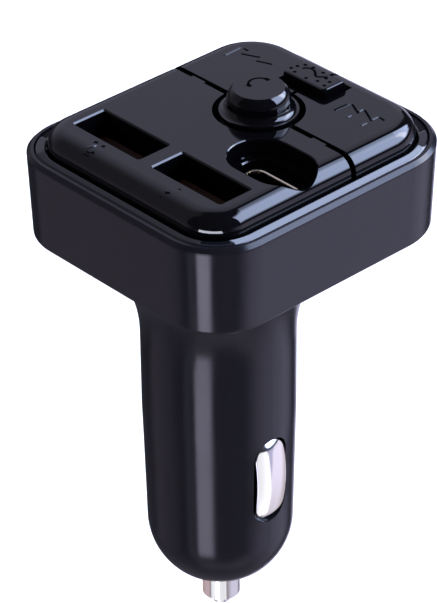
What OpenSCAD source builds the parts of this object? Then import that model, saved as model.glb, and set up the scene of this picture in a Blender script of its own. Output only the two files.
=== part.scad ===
// Car FM transmitter: a plug for a 12 V socket that carries a flat head with ports and keys.
// Millimetres. The origin is on the plug's axis, where its flare begins; +Z runs up through the head.
// The port side of the head faces -Y and the key side faces +Y.

/* [Head] */
// Width of the head
head_w = 40; // [37:1:46]
// Length of the head, from the port side to the key side
head_l = 44.8; // [43:0.4:50]
// Height of the head's side wall
head_h = 12.3; // [12:0.3:15]
// How far the head's centre lies towards the keys from the plug's axis
head_shift = 3.2; // [2:0.2:4]
// Corner radius on the port side
near_corner_r = 8.2; // [7:0.2:10]
// Corner radius on the key side
far_corner_r = 9.8; // [8:0.2:11]
// How much the side wall leans in at the bottom
head_draft = 0.4; // [0.1:0.1:0.8]
// Chamfer round the top rim
rim_chamfer = 0.5; // [0.2:0.1:0.7]
// Fillet round the bottom edge
under_fillet = 0.8; // [0.4:0.1:1.4]
// Thickness of the side wall
head_wall = 1.8; // [1.5:0.1:2.2]
// Thickness of the head's floor
floor_t = 1.8; // [1.4:0.1:2.4]

/* [Light ring] */
// Width of the rim between the outer wall and the ring
ring_inset = 0.95; // [0.9:0.05:1.1]
// Width of the ring
ring_w = 1.6; // [1.5:0.05:1.8]
// Height of the ring above the rim
ring_rise = 0.5; // [0.3:0.05:0.7]
// Depth of the ring's seat below the rim
ring_depth = 2.2; // [2.1:0.1:2.6]
// Rounding of the ring's top edges
ring_crown = 0.45; // [0.2:0.05:0.5]

/* [Face plate] */
// Height of the face above the rim
plate_rise = 3.45; // [3.2:0.05:4]
// Radius of the plate's rounded top edge
plate_fillet = 2.45; // [1.5:0.05:2.8]
// Thickness of the plate
plate_t = 1.5; // [1.3:0.1:1.7]
// Thickness of the plate's skirt
skirt_t = 1.4; // [1.2:0.1:1.6]
// Gap between the plate and the ring
plate_gap = 0.2; // [0.15:0.05:0.3]

/* [Ports] */
// Length of a USB-A opening
usb_a_w = 12.4; // [12.2:0.1:12.8]
// Height of a USB-A opening
usb_a_h = 5.15; // [5.05:0.05:5.4]
// Distance between the two USB-A openings
usb_a_space = 2.55; // [1.6:0.05:3]
// Place of the USB-A row along the head, as a share of its length
usb_a_share = 0.2176; // [0.21:0.002:0.226]
// Chamfer round the mouths of the ports
mouth_chamfer = 0.2; // [0.1:0.05:0.3]
// Sheet thickness of the port shells
shell_t = 0.3; // [0.2:0.05:0.4]
// Thickness of a USB-A tongue
tongue_t = 1.84; // [1.6:0.02:2]
// Distance from the shell's mouth to the USB-A tongue
tongue_depth = 1.9; // [1.6:0.1:2.4]
// Length of the USB-C recess
usb_c_recess_l = 12.4; // [12:0.1:13.4]
// Width of the USB-C recess
usb_c_recess_w = 8.7; // [8:0.1:8.8]
// Depth of the USB-C recess down to its ledge
usb_c_recess_d = 2.45; // [2:0.05:2.8]
// Width of the ledge that runs round inside the recess
usb_c_ledge_w = 1.15; // [0.8:0.05:1.3]
// Depth of the pocket inside the ledge
usb_c_pocket_d = 3.5; // [3.3:0.1:3.9]
// Distance of the USB-C recess from the head's right side
usb_c_side = 9.3; // [9.1:0.1:10]
// Place of the USB-C recess along the head, as a share of its length
usb_c_share = 0.4197; // [0.414:0.001:0.424]
// Outer length of the USB-C shell
usb_c_w = 8.94; // [8.6:0.02:9.1]
// Outer width of the USB-C shell
usb_c_h = 3.26; // [3:0.02:3.4]

/* [Keys] */
// Place of the split line along the head, as a share of its length
split_share = 0.596; // [0.59:0.002:0.604]
// Width of the split between the plate and the two keys
split_gap = 0.9; // [0.7:0.05:1]
// Width of each tab that narrows the split
tab_w = 2.4; // [1.8:0.1:3]
// Distance from the centre of the head to each tab, as a share of its width
tab_share = 0.28; // [0.272:0.002:0.29]
// Width of the split between the two track keys
key_split = 0.6; // [0.4:0.05:0.8]
// Clearance round the light key
key_clear = 0.3; // [0.25:0.05:0.4]
// Radius of the hole in the face round the knob
knob_cut_r = 6.05; // [6:0.05:6.4]
// Width of the light key
light_w = 8; // [7:0.2:9]
// Distance from the split to the light key, as a share of the keys' length
light_share = 0.4866; // [0.46:0.005:0.5]
// Length of the light key, as a share of the keys' length
light_l_share = 0.309; // [0.29:0.005:0.33]
// Height of the light key above the face
light_rise = 1.2; // [0.8:0.1:1.6]
// Length of the slope at the light key's far end
light_slope_l = 0.95; // [0.7:0.05:1.2]
// Radius of the light key's top edges
light_fillet = 0.6; // [0.2:0.1:0.8]
// Radius of a key's hinge barrel
hinge_r = 0.8; // [0.6:0.05:0.85]
// Length of a key's hinge barrel
hinge_l = 5.4; // [4.6:0.2:6.4]

/* [Knob] */
// Radius of the knob's skirt
knob_skirt_r = 5.2; // [4.9:0.05:5.4]
// Radius of the knob's cap
knob_cap_r = 4.2; // [3.9:0.05:4.4]
// Radius of the flat disc on top of the knob
knob_disc_r = 3.4; // [3:0.05:3.7]
// Height of the knob above the face
knob_rise = 3.3; // [3.1:0.1:3.8]
// Radius of the arc between the knob's wall and its disc
knob_dome_r = 2.25; // [1.6:0.05:2.4]
// Height of the skirt's edge above the face
knob_skirt_edge = 0.15; // [0.1:0.05:0.4]
// Depth of the skirt's underside below the face
knob_sink = 0.5; // [0.3:0.05:0.6]
// Radius of the knob's shaft
knob_shaft_r = 3.2; // [2.8:0.1:3.4]

/* [Plug] */
// Radius of the plug's cylindrical barrel
barrel_r = 10.4; // [10.2:0.05:10.5]
// Length of the cylindrical stretch below the origin
barrel_l = 9.4; // [8.6:0.2:10]
// How much narrower the rounded nose is than the barrel, on the radius
nose_taper = 0.38; // [0.1:0.02:0.5]
// Distance from the origin down to the centre of the rounded nose
nose_drop = 27.7; // [27:0.1:30]
// Height from the origin up to the underside of the head
flare_h = 16.7; // [16:0.1:17.6]
// Height from the origin to where the barrel starts to widen
flare_start = 2.3; // [1.6:0.1:3.2]
// Radius of the long hollow curve that widens the barrel
flare_r = 21; // [20:0.5:25]
// Radius at which the flare runs into the head's underside
flare_rim_r = 17.6; // [17:0.1:18.2]
// Wall thickness of the barrel
barrel_wall = 1.7; // [1.5:0.1:1.9]

/* [Contacts] */
// Width of a side slot
slot_w = 5.8; // [5.4:0.1:6.2]
// Length of a side slot
slot_l = 13.5; // [13:0.1:14]
// Distance from the origin down to the middle of the side slots
slot_drop = 17.35; // [17.2:0.05:17.8]
// Thickness of a side contact's spring sheet
leaf_t = 0.4; // [0.3:0.05:0.5]
// How far a side contact stands out of the barrel
leaf_proud = 0.55; // [0.3:0.05:0.6]
// Radius across a side contact's crown
leaf_crown_r = 2.9; // [2.7:0.05:3.4]
// Radius along a side contact's bow
leaf_bow_r = 22; // [18:0.5:26]
// Radius of the centre pin
tip_r = 2.62; // [2.4:0.02:2.8]
// How far the centre pin stands out of the nose
tip_l = 3.9; // [3:0.1:4.6]
// Radius of the nipple at the pin's end
nipple_r = 1.2; // [0.9:0.1:1.5]
// Length of the nipple
nipple_l = 1.6; // [1:0.1:2]
// Travel of the centre pin
tip_travel = 2.4; // [1.6:0.1:2.6]
// Wire thickness of the pin's spring
spring_wire = 0.6; // [0.5:0.05:0.7]
// Radius of the pin's spring to the middle of its wire
spring_r = 2.7; // [2.5:0.05:2.9]
// Turns of the pin's spring
spring_turns = 6; // [5:1:7]

/* [Boards] */
// Thickness of the port board
port_board_t = 1.6; // [1.2:0.1:1.6]
// Thickness of the key board
key_board_t = 1; // [0.8:0.1:1.2]
// Thickness of the upright power board
power_board_t = 1.2; // [1:0.1:1.6]
// Side of a key switch
switch_w = 4.4; // [4:0.1:4.6]
// Height of a key switch
switch_h = 1.6; // [1.4:0.1:1.7]
// Radius of a switch plunger
plunger_r = 1.1; // [0.9:0.05:1.2]
// Radius of the coil
coil_r = 3; // [2.6:0.1:3.4]
// Radius of a round capacitor
cap_r = 2.5; // [2:0.1:2.6]
// Length of a round capacitor
cap_l = 9; // [7:0.5:10]

/* [Hidden] */
$fn = 64;
// Overrun of every cut
over = 1;
// Overrun of the small chamfers' cuts
mouth_over = 0.1;
// Overlap of pieces that are joined into one solid
lap = 0.02;
// Clearance of a running fit
run_clear = 0.06;
// Clearance round pieces that only pass by
pass_clear = 0.3;

// Heights and edges of the head
rim_z = flare_h + head_h;
face_z = rim_z + plate_rise;
under_face_z = face_z - plate_t;
shelf_z = rim_z - ring_depth;
shelf_t = 1.2;
shelf_w = 0.9;
floor_z = flare_h + floor_t;
near_y = head_shift - head_l / 2;
far_y = head_shift + head_l / 2;
plate_inset = ring_inset + ring_w + plate_gap;
shelf_inset = plate_inset + shelf_w;
inner_inset = plate_inset + skirt_t;
split_y = near_y + head_l * split_share;
plate_edge_y = split_y - split_gap / 2;
key_edge_y = split_y + split_gap / 2;
key_far_y = far_y - plate_inset;

// The flare is a long arc followed by a short one that ends level, just inside the underside
flare_tuck = 0.1;
flare_top_z = flare_h + flare_tuck;
flare_out = flare_rim_r - barrel_r;
flare_up = flare_top_z - flare_start;
flare_bend = 90 - 2 * atan2(flare_r - flare_up, flare_r - flare_out);
flare_end_r = flare_r - (flare_r - flare_out) / cos(flare_bend);
flare_join_x = barrel_r + flare_r * (1 - cos(flare_bend));
flare_join_z = flare_start + flare_r * sin(flare_bend);

// Ports
usb_a_y = near_y + head_l * usb_a_share;
usb_a_x = (usb_a_w + usb_a_space) / 2;
usb_c_x = head_w / 2 - usb_c_side;
usb_c_y = near_y + head_l * usb_c_share;
usb_a_lip = 0.05;
port_top_z = under_face_z - usb_a_lip;
tongue_margin = 0.65;
tongue_w = usb_a_w - 2 * tongue_margin;
tongue_side = 0.45;
pin_w = 1;
pin_t = 0.2;
pin_space = 2.2;
tongue_base_h = 2.2;
usb_c_wall = 0.9;
usb_c_floor_t = 0.9;
usb_c_proud = 0.08;
usb_c_floor_z = face_z - usb_c_pocket_d - usb_c_floor_t;
usb_c_top_z = face_z - usb_c_pocket_d + usb_c_proud;
usb_c_tongue_w = 6.7;
usb_c_tongue_t = 0.7;
usb_c_tongue_drop = 0.8;
usb_c_seat = 0.05;

// Light ring, its strip and its lamps
strip_t = 0.4;
strip_margin = 0.15;
lamp_w = 1.4;
lamp_t = 0.5;
lamp_h = 0.6;
lamp_groove_margin = 0.25;
lamp_groove_h = 0.8;
lamp_x_share = 0.4;
lamp_y_share = 0.35;

// Key frame, keys and their hinges
frame_t = 1;
frame_z = shelf_z + frame_t;
frame_reach = 5.3;
collar_wall = 1.1;
collar_h = 2.2;
key_dip = 0.7;
key_low_z = frame_z + key_dip;
key_lip_t = 1;
key_lip_h = 2.2;
pivot_drop = 1.35;
pivot_z = under_face_z - pivot_drop;
pivot_inset = 1;
pivot_y = key_edge_y + pivot_inset;
tab_x = head_w * tab_share;
hinge_web_t = 1;
ear_t = 1.1;
ear_w = 2.8;
ear_top = 1.05;
tab_gap = 0.5;
post_r = 1.3;
post_x_share = 0.24;
post_x = head_w * post_x_share;
post_y_share = 0.55;
plunger_rise = 0.8;
plunger_sink = 0.6;
plunger_play = 0.25;
switch_floor = 0.35;
light_depth = 2.6;
light_lip = 0.8;
light_lip_t = 0.8;
light_lip_rise = 0.1;
light_lip_z = key_low_z + light_lip_rise;
light_wall = 0.8;
light_corner_r = 0.9;
frame_post_r = 1.2;
frame_post_inset = 5.8;
frame_post_x = head_w / 2 - frame_post_inset;
frame_post_far = 6.5;
frame_post_near = 2.6;

// Boards
key_board_drop = 2.2;
key_board_z = shelf_z - key_board_drop;
board_margin = 0.5;
port_board_z = floor_z + port_board_t;
switch_top_z = key_board_z + switch_h;
plunger_top_z = switch_top_z + plunger_rise;
post_y = key_edge_y + (key_far_y - key_edge_y) * post_y_share;
light_l = (key_far_y - key_edge_y) * light_l_share;
light_near_y = key_edge_y + (key_far_y - key_edge_y) * light_share;
light_mid_y = light_near_y + light_l / 2;
bore_r = barrel_r - barrel_wall;
bore_stop = 1.2;
bore_end_z = bore_stop - nose_drop;
power_board_w = 2 * (bore_r - pass_clear);
power_board_rise = 5.3;
power_board_low_z = power_board_rise - nose_drop;
power_cut = 4.2;

// Nose and centre pin
nose_r = barrel_r - nose_taper;
nose_low_z = -nose_drop - nose_r;
tip_flange_r = 3.9;
tip_flange_t = 1;
chamber_r = 4.2;
shoulder_t = 2;
shoulder_z = nose_low_z + shoulder_t;
tip_low_z = nose_low_z - tip_l;
seat_r = 3.5;
seat_t = 0.8;
seat_low_z = power_board_low_z - seat_t;
spring_low_z = shoulder_z + tip_flange_t;
spring_sides = 6;
spring_rings = 16;

// Side contacts
slot_z = -slot_drop;
leaf_side_gap = 0.45;
leaf_end_gap = 0.55;
leaf_w = slot_w - 2 * leaf_side_gap;
leaf_l = slot_l - 2 * leaf_end_gap;
leaf_x = barrel_r + leaf_proud;
leaf_axis_x = leaf_x - leaf_crown_r;
arm_w = 3;
arm_gap = 0.15;
arm_x = bore_r - leaf_t - arm_gap;
arm_rise = 12.75;
arm_top_z = slot_z + arm_rise;
bend_in = 0.7;
bend_up_z = slot_z + leaf_l / 2 - bend_in;
bend_down_z = slot_z - leaf_l / 2 + bend_in;
root_in = 2.6;
root_up_z = slot_z + leaf_l / 2 - root_in;
root_down_z = slot_z - leaf_l / 2 + root_in;
root_x = leaf_x - leaf_bow_r + sqrt(pow(leaf_bow_r, 2) - pow(leaf_l / 2 - root_in, 2)) - leaf_t;
tail_l = 2.4;
tail_low_z = bend_down_z - tail_l;

// Outline of the head, drawn in by a distance
module head_outline(inset) {
    half = head_w / 2 - inset;
    low = near_y + inset;
    high = far_y - inset;
    low_r = near_corner_r - inset;
    high_r = far_corner_r - inset;
    polygon([[low_r - half, low], [half - low_r, low], [half, low + low_r], [half, high - high_r],
        [half - high_r, high], [high_r - half, high], [-half, high - high_r], [-half, low + low_r]]);
    for (side = [-1, 1]) {
        translate([side * (half - low_r), low + low_r]) circle(low_r);
        translate([side * (half - high_r), high - high_r]) circle(high_r);
    }
}

// Sweeps a section round the head's outline: the section's X is how far it stands outside the outline
module outline_sweep() {
    low_y = near_y + near_corner_r;
    high_y = far_y - far_corner_r;
    for (side = [0, 1]) mirror([side, 0, 0]) {
        translate([head_w / 2 - near_corner_r, low_y]) rotate(-90) rotate_extrude(angle = 90)
            translate([near_corner_r, 0]) children();
        translate([head_w / 2 - far_corner_r, high_y]) rotate_extrude(angle = 90)
            translate([far_corner_r, 0]) children();
        translate([head_w / 2, high_y]) rotate([90, 0, 0]) linear_extrude(high_y - low_y) children();
    }
    translate([far_corner_r - head_w / 2, far_y]) rotate([90, 0, 90])
        linear_extrude(head_w - 2 * far_corner_r) children();
    translate([near_corner_r - head_w / 2, near_y]) mirror([0, 1, 0]) rotate([90, 0, 90])
        linear_extrude(head_w - 2 * near_corner_r) children();
}

// Fills the head's outline inside an inset
module outline_core(inset, low_z, high_z) {
    span([inset - head_w / 2, near_y + inset, low_z], [head_w / 2 - inset, far_y - inset, high_z]);
}

// Section of a wall with a rounded outer top edge
module wall_section(outer, inner, low_z, top_z, fillet) {
    translate([-inner, low_z]) square([inner - outer, top_z - fillet - low_z]);
    translate([-inner, low_z]) square([inner - outer - fillet, top_z - low_z]);
    intersection() {
        translate([-outer - fillet, top_z - fillet]) circle(fillet);
        translate([-inner, low_z]) square([inner - outer, top_z - low_z]);
    }
}

// Band with the head's outline between two insets
module outline_band(outer, inner, low_z, high_z) {
    translate([0, 0, low_z]) linear_extrude(high_z - low_z) difference() {
        head_outline(outer);
        head_outline(inner);
    }
}

// Flat oblong with round ends along X
module oblong(length, width) {
    for (side = [-1, 1]) translate([side * (length - width) / 2, 0]) circle(width / 2);
    square([length - width, width], center = true);
}

// Box from one corner to the other
module span(low, high) {
    translate(low) cube(high - low);
}

module head_block() {
    depth = near_corner_r - over;
    outline_sweep() {
        polygon([[-depth, flare_h], [-head_draft - under_fillet, flare_h],
            [-head_draft - under_fillet, flare_h + under_fillet], [-head_draft, flare_h + under_fillet],
            [0, rim_z], [-rim_chamfer, rim_z + rim_chamfer], [-depth, rim_z + rim_chamfer]]);
        translate([-head_draft - under_fillet, flare_h + under_fillet]) circle(under_fillet);
    }
    outline_core(depth - over, flare_h, rim_z + rim_chamfer);
}

// Half section of the plug's outside
module plug_profile() {
    polygon([[0, flare_start], [barrel_r, flare_start], [barrel_r, -barrel_l],
        [nose_r, -nose_drop], [0, -nose_drop]]);
    intersection() {
        translate([0, -nose_drop]) circle(nose_r);
        translate([0, nose_low_z]) square([nose_r, nose_r]);
    }
    difference() {
        polygon([[0, flare_start - lap], [barrel_r, flare_start - lap], [barrel_r, flare_start],
            [flare_join_x, flare_join_z], [flare_join_x, floor_z], [0, floor_z]]);
        translate([barrel_r + flare_r, flare_start]) circle(flare_r, $fn = 3 * $fn);
    }
    difference() {
        translate([0, flare_join_z]) square([flare_rim_r, floor_z - flare_join_z]);
        translate([flare_rim_r, flare_top_z - flare_end_r]) circle(flare_end_r);
    }
}

// Opening for a side contact, cut towards +X
module side_slot() {
    translate([bore_r - over, 0, slot_z]) rotate([0, 90, 0])
        linear_extrude(barrel_wall + 2 * over) oblong(slot_l, slot_w);
}

module housing() {
    color("#1b1a1f") difference() {
        union() {
            head_block();
            rotate_extrude() plug_profile();
        }
        translate([0, 0, shelf_z]) linear_extrude(ring_depth + rim_chamfer + over) head_outline(ring_inset);
        translate([0, 0, shelf_z - shelf_t - over]) linear_extrude(shelf_t + 2 * over) head_outline(shelf_inset);
        translate([0, 0, floor_z]) linear_extrude(shelf_z - shelf_t - floor_z) head_outline(head_wall);
        translate([0, 0, bore_end_z]) cylinder(r = bore_r, h = floor_z - bore_end_z + over);
        translate([0, 0, shoulder_z]) cylinder(r = chamber_r, h = bore_end_z - shoulder_z + over);
        translate([0, 0, nose_low_z - over]) cylinder(r = tip_r + run_clear, h = shoulder_t + 2 * over);
        side_slot();
        mirror([1, 0, 0]) side_slot();
    }
}

module light_ring() {
    low_z = shelf_z + strip_t;
    top_z = rim_z + ring_rise;
    outer = ring_inset + run_clear;
    inner = ring_inset + ring_w;
    color("#6d6f78") outline_sweep() difference() {
        union() {
            translate([-inner, low_z]) square([inner - outer, top_z - ring_crown - low_z]);
            translate([ring_crown - inner, low_z]) square([inner - outer - 2 * ring_crown, top_z - low_z]);
            for (x = [-outer - ring_crown, ring_crown - inner]) translate([x, top_z - ring_crown])
                circle(ring_crown);
        }
        translate([lamp_groove_margin - inner, low_z - over])
            square([inner - outer - 2 * lamp_groove_margin, lamp_groove_h + over]);
    }
}

module led_strip() {
    color("#d8d4c6") outline_band(ring_inset + strip_margin, ring_inset + ring_w - strip_margin,
        shelf_z, shelf_z + strip_t);
}

// Lamps stand on the strip, two along each side of the head
module ring_leds() {
    mid = ring_inset + strip_margin + (ring_w - strip_margin) / 2;
    z = shelf_z + strip_t + lamp_h / 2;
    color("#f2ead0") for (side = [-1, 1], end = [-1, 1]) {
        translate([side * (head_w / 2 - mid), head_shift + end * head_l / 2 * lamp_y_share, z])
            cube([lamp_t, lamp_w, lamp_h], center = true);
        translate([side * head_w / 2 * lamp_x_share, head_shift + end * (head_l / 2 - mid), z])
            cube([lamp_w, lamp_t, lamp_h], center = true);
    }
}

module face_block(low_z) {
    depth = near_corner_r - over;
    outline_sweep() wall_section(plate_inset, depth, low_z, face_z, plate_fillet);
    outline_core(depth - over / 4, low_z, face_z);
}

// Hollow cap that the plate and the two keys are cut from
module face_shell(low_z) {
    difference() {
        face_block(low_z);
        translate([0, 0, low_z - over]) linear_extrude(under_face_z - low_z + over) head_outline(inner_inset);
    }
}

// Everything on the port side of the split, with its two tabs
module plate_region() {
    span([-head_w, near_y - over, shelf_z - over], [head_w, plate_edge_y, face_z + over]);
    for (side = [-1, 1]) translate([side * tab_x - tab_w / 2, plate_edge_y - over, under_face_z])
        cube([tab_w, split_gap - tab_gap + over, plate_t + over]);
}

// Cutter for the chamfered mouth of an oblong hole, its top level with the face
module oblong_chamfer(length, width, chamfer) {
    reach = chamfer + mouth_over;
    for (side = [-1, 1]) translate([side * (length - width) / 2, 0, -chamfer])
        cylinder(r1 = width / 2, r2 = width / 2 + reach, h = reach);
    translate([(width - length) / 2, 0, -chamfer]) rotate([90, 0, 90]) linear_extrude(length - width)
        polygon([[-width / 2, 0], [width / 2, 0], [width / 2 + reach, reach], [-width / 2 - reach, reach]]);
}

// Cutter for the chamfered mouth of a rectangular hole, its top level with the face
module mouth_chamfer_cut(length, width, chamfer) {
    reach = chamfer + mouth_over;
    for (side = [0, 1]) {
        mirror([side, 0, 0]) translate([length / 2, width / 2, -chamfer]) rotate([90, 0, 0])
            linear_extrude(width) polygon([[-reach, 0], [0, 0], [reach, reach], [-reach, reach]]);
        mirror([0, side, 0]) translate([-length / 2, width / 2, -chamfer]) rotate([90, 0, 90])
            linear_extrude(length) polygon([[-reach, 0], [0, 0], [reach, reach], [-reach, reach]]);
    }
}

module usb_a_cut() {
    for (side = [-1, 1]) translate([side * usb_a_x, usb_a_y, 0]) {
        translate([0, 0, under_face_z - over]) linear_extrude(plate_t + 2 * over)
            square([usb_a_w, usb_a_h], center = true);
        translate([0, 0, face_z]) mouth_chamfer_cut(usb_a_w, usb_a_h, mouth_chamfer);
    }
}

// Outlines that other pieces keep clear of the socket shells that pass them
module usb_a_room() {
    for (side = [-1, 1]) translate([side * usb_a_x, usb_a_y]) square([usb_a_w + 2 * shell_t + 2 * run_clear,
        usb_a_h + 2 * shell_t + 2 * run_clear], center = true);
}

module usb_c_room() {
    translate([usb_c_x, usb_c_y]) oblong(usb_c_w + 2 * run_clear, usb_c_h + 2 * run_clear);
}

// Recess for a USB-C plug, with a step near its floor
module usb_c_well() {
    translate([usb_c_x, usb_c_y, usb_c_floor_z]) linear_extrude(under_face_z - usb_c_floor_z + lap)
        oblong(usb_c_recess_l + 2 * usb_c_wall, usb_c_recess_w + 2 * usb_c_wall);
}

module usb_c_cut() {
    translate([usb_c_x, usb_c_y, face_z - usb_c_recess_d]) linear_extrude(usb_c_recess_d + over)
        oblong(usb_c_recess_l, usb_c_recess_w);
    translate([usb_c_x, usb_c_y, face_z - usb_c_pocket_d]) linear_extrude(usb_c_pocket_d)
        oblong(usb_c_recess_l - 2 * usb_c_ledge_w, usb_c_recess_w - 2 * usb_c_ledge_w);
    translate([usb_c_x, usb_c_y, face_z]) oblong_chamfer(usb_c_recess_l, usb_c_recess_w, mouth_chamfer);
    translate([usb_c_x, usb_c_y, usb_c_floor_z - over]) linear_extrude(usb_c_floor_t + 2 * over)
        oblong(usb_c_w + 2 * usb_c_seat, usb_c_h + 2 * usb_c_seat);
}

module face_plate() {
    color("#26262c") difference() {
        union() {
            intersection() {
                face_shell(shelf_z);
                plate_region();
            }
            intersection() {
                face_block(shelf_z);
                union() {
                    span([-head_w, plate_edge_y - key_lip_t, under_face_z - key_lip_h],
                        [head_w, plate_edge_y, under_face_z + lap]);
                    usb_c_well();
                }
            }
        }
        usb_a_cut();
        usb_c_cut();
        translate([0, 0, shelf_z - over]) linear_extrude(under_face_z - shelf_z + over) usb_a_room();
        translate([0, split_y, shelf_z - over]) cylinder(r = knob_cut_r, h = ring_depth + plate_rise + 2 * over);
    }
}

// Frame that carries the keys' hinges and guides the knob
module key_frame() {
    color("#303036") difference() {
        union() {
            translate([0, 0, shelf_z]) linear_extrude(frame_t) difference() {
                union() {
                    intersection() {
                        head_outline(plate_inset);
                        translate([-head_w, key_edge_y]) square([2 * head_w, head_l]);
                    }
                    intersection() {
                        head_outline(inner_inset + pass_clear);
                        translate([-head_w, split_y - frame_reach]) square([2 * head_w, head_l]);
                    }
                }
                for (side = [-1, 1]) translate([side * post_x, post_y]) circle(post_r + 2 * pass_clear);
                translate([0, light_mid_y]) square([light_depth + 2 * pass_clear,
                    light_depth + 2 * pass_clear], center = true);
                usb_a_room();
                usb_c_room();
            }
            translate([0, split_y, shelf_z])
                cylinder(r = knob_shaft_r + collar_wall, h = frame_t + collar_h);
            for (side = [-1, 1], end = [-1, 1])
                translate([side * tab_x + end * (hinge_l - ear_t) / 2 - ear_t / 2, pivot_y - ear_w / 2, shelf_z])
                    cube([ear_t, ear_w, pivot_z + ear_top - shelf_z]);
            for (side = [-1, 1], y = [split_y - frame_post_near, far_y - frame_post_far])
                translate([side * frame_post_x, y, key_board_z])
                    cylinder(r = frame_post_r, h = shelf_z - key_board_z + frame_t / 2);
        }
        translate([0, split_y, shelf_z - over])
            cylinder(r = knob_shaft_r + run_clear, h = frame_t + collar_h + 2 * over);
        for (side = [-1, 1]) translate([side * tab_x - hinge_l / 2 - over, pivot_y, pivot_z])
            rotate([0, 90, 0]) cylinder(r = hinge_r + run_clear, h = hinge_l + 2 * over);
    }
}

// Plan of the key on one side: -1 is the left key and 1 the right key
module key_plan(side) {
    difference() {
        translate([side > 0 ? key_split / 2 : -head_w, key_edge_y])
            square([head_w - key_split / 2, head_l]);
        translate([0, split_y]) circle(knob_cut_r);
        translate([-light_w / 2 - key_clear, light_near_y - key_clear])
            square([light_w + 2 * key_clear, light_l + 2 * key_clear]);
    }
}

module track_key(side) {
    difference() {
        union() {
            intersection() {
                face_shell(key_low_z);
                translate([0, 0, key_low_z - over]) linear_extrude(face_z - key_low_z + 2 * over)
                    key_plan(side);
            }
            translate([side * post_x, post_y, plunger_top_z])
                cylinder(r = post_r, h = under_face_z - plunger_top_z + lap);
            translate([side * tab_x - (hinge_l / 2 - ear_t - pass_clear), pivot_y - hinge_web_t / 2, pivot_z])
                cube([hinge_l - 2 * ear_t - 2 * pass_clear, hinge_web_t, under_face_z - pivot_z + lap]);
            translate([side * tab_x - hinge_l / 2, pivot_y, pivot_z]) rotate([0, 90, 0])
                cylinder(r = hinge_r, h = hinge_l);
        }
    }
}

module prev_key() {
    color("#26262c") track_key(-1);
}

module next_key() {
    color("#26262c") track_key(1);
}

// Section of the light key's edge, about the centre of a corner
module light_section(top_z) {
    intersection() {
        wall_section(-light_corner_r, 0, light_lip_z, top_z, light_fillet);
        translate([0, light_lip_z]) square([light_corner_r, top_z - light_lip_z]);
    }
}

module light_block(top_z) {
    half_x = light_w / 2 - light_corner_r;
    half_y = light_l / 2 - light_corner_r;
    for (x = [-1, 1], y = [-1, 1]) translate([x * half_x, y * half_y, 0])
        rotate_extrude() light_section(top_z);
    for (side = [0, 1]) {
        mirror([side, 0, 0]) translate([half_x, half_y, 0]) rotate([90, 0, 0])
            linear_extrude(2 * half_y) light_section(top_z);
        mirror([0, side, 0]) translate([-half_x, half_y, 0]) rotate([90, 0, 90])
            linear_extrude(2 * half_x) light_section(top_z);
    }
    span([-half_x, -half_y, light_lip_z], [half_x, half_y, top_z]);
}

module light_key() {
    color("#26262c") {
        difference() {
            translate([0, light_mid_y, 0]) light_block(face_z + light_rise);
            translate([-light_w / 2 - over, light_near_y + light_l, face_z]) rotate([90, 0, 90])
                linear_extrude(light_w + 2 * over) polygon([[0, 0], [-light_slope_l, light_rise],
                    [-light_slope_l, light_rise + over], [over, light_rise + over], [over, 0]]);
            translate([0, light_mid_y, light_lip_z - over])
                linear_extrude(under_face_z - light_lip_z + over)
                square([light_w - 2 * light_wall, light_l - 2 * light_wall], center = true);
        }
        for (side = [-1, 1])
            translate([side * (light_w + light_lip) / 2 - light_lip, light_mid_y - light_l / 4, light_lip_z])
                cube([light_lip * 2, light_l / 2, light_lip_t]);
        translate([0, light_mid_y, plunger_top_z])
            cylinder(r = post_r, h = under_face_z - plunger_top_z + lap);
    }
}

// Half section of the knob, level zero at the face
module knob_profile() {
    cove_r = knob_skirt_r - knob_cap_r;
    cove_z = knob_skirt_edge + cove_r;
    dome_x = knob_cap_r - knob_dome_r;
    dome_z = knob_rise - sqrt(pow(knob_dome_r, 2) - pow(knob_disc_r - dome_x, 2));
    translate([0, -knob_sink]) square([knob_skirt_r, knob_sink + knob_skirt_edge]);
    difference() {
        translate([0, knob_skirt_edge]) square([knob_skirt_r, cove_r]);
        translate([knob_skirt_r, cove_z]) circle(cove_r);
    }
    translate([0, cove_z]) square([knob_cap_r, dome_z - cove_z]);
    translate([0, dome_z]) square([knob_disc_r, knob_rise - dome_z]);
    intersection() {
        translate([dome_x, dome_z]) circle(knob_dome_r);
        translate([0, dome_z]) square([knob_cap_r, knob_rise - dome_z]);
    }
}

module knob() {
    color("#222228") {
        translate([0, split_y, face_z]) rotate_extrude() knob_profile();
        translate([0, split_y, plunger_top_z])
            cylinder(r = knob_shaft_r, h = face_z - knob_sink - plunger_top_z + lap);
    }
}

// Place of each switch: left key, right key, light key and knob
module switch_body(place) {
    color("#c9c9cc") difference() {
        translate([place[0] - switch_w / 2, place[1] - switch_w / 2, key_board_z])
            cube([switch_w, switch_w, switch_h]);
        translate([place[0], place[1], key_board_z + switch_floor])
            cylinder(r = plunger_r + plunger_play, h = switch_h + over);
    }
}

module plunger(place) {
    color("#8c5a2b") translate([place[0], place[1], switch_top_z - plunger_sink])
        cylinder(r = plunger_r, h = plunger_sink + plunger_rise);
}

module prev_switch() {
    switch_body([-post_x, post_y]);
}

module next_switch() {
    switch_body([post_x, post_y]);
}

module light_switch() {
    switch_body([0, light_mid_y]);
}

module knob_switch() {
    switch_body([0, split_y]);
}

module prev_plunger() {
    plunger([-post_x, post_y]);
}

module next_plunger() {
    plunger([post_x, post_y]);
}

module light_plunger() {
    plunger([0, light_mid_y]);
}

module knob_plunger() {
    plunger([0, split_y]);
}

module key_board() {
    color("#1f5a36") translate([0, 0, key_board_z - key_board_t]) linear_extrude(key_board_t) difference() {
        intersection() {
            head_outline(head_wall + board_margin);
            translate([-head_w, split_y - frame_reach]) square([2 * head_w, head_l]);
        }
        usb_a_room();
        usb_c_room();
    }
}

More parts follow.
